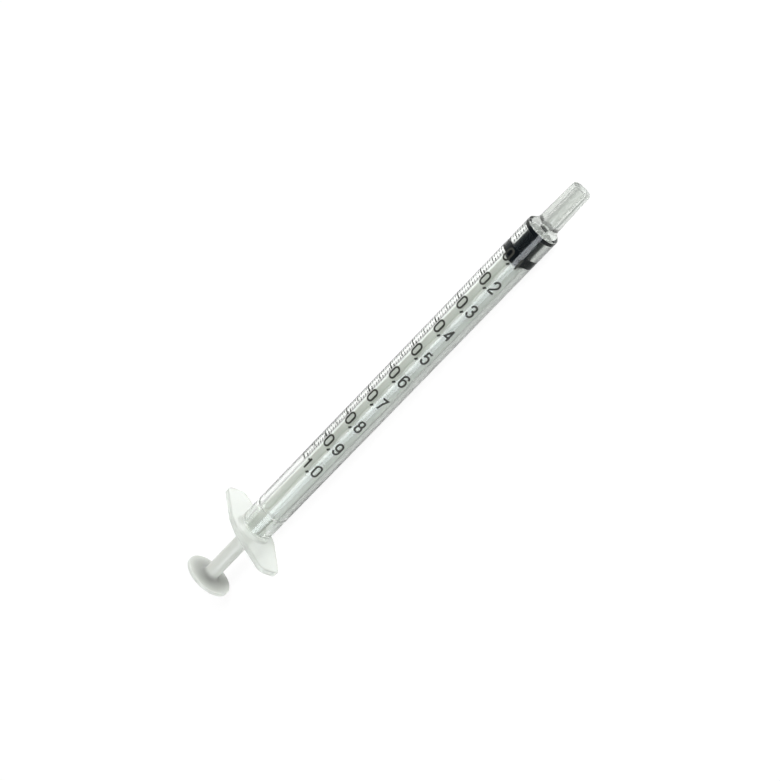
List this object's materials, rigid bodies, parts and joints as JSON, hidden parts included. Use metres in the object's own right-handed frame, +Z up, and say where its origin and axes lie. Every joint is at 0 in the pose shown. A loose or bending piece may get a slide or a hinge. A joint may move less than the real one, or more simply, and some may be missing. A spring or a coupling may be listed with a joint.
{
  "type": "luer slip syringe",
  "caption": "Slim clear disposable syringe with a tapered slip nozzle, winged finger flange, black rubber piston and a sliding plunger rod with a round thumb disc.",
  "frame": {"origin": "middle of the object's box at the level of its lowest point, with the plunger pressed home", "axes": "+X along the barrel's axis towards the nozzle, Y along the long way of the finger flange, +Z up as the syringe lies on a flat of that flange"},
  "size_m": [0.1092, 0.022, 0.01],
  "materials": {
    "clear_barrel": "clear moulded plastic with a slight grey green cast and a black printed scale",
    "piston_rubber": "smooth black rubber, lightly oiled",
    "natural_rod": "milky translucent moulded plastic"
  },
  "bodies": {
    "barrel": {"barrel": "clear_barrel"},
    "piston": {"piston": "piston_rubber"},
    "plunger_rod": {"plunger_rod": "natural_rod"}
  },
  "joints": [
    {"name": "plunger_slide", "type": "slide", "parent": "barrel", "child": "piston", "axis": [-1, 0, 0], "range_m": [0, 0.0702]},
    {"name": "rod_spin", "type": "hinge", "parent": "piston", "child": "plunger_rod", "pos_m": [0.036, 0, 0.005], "axis": [1, 0, 0], "continuous": true}
  ]
}
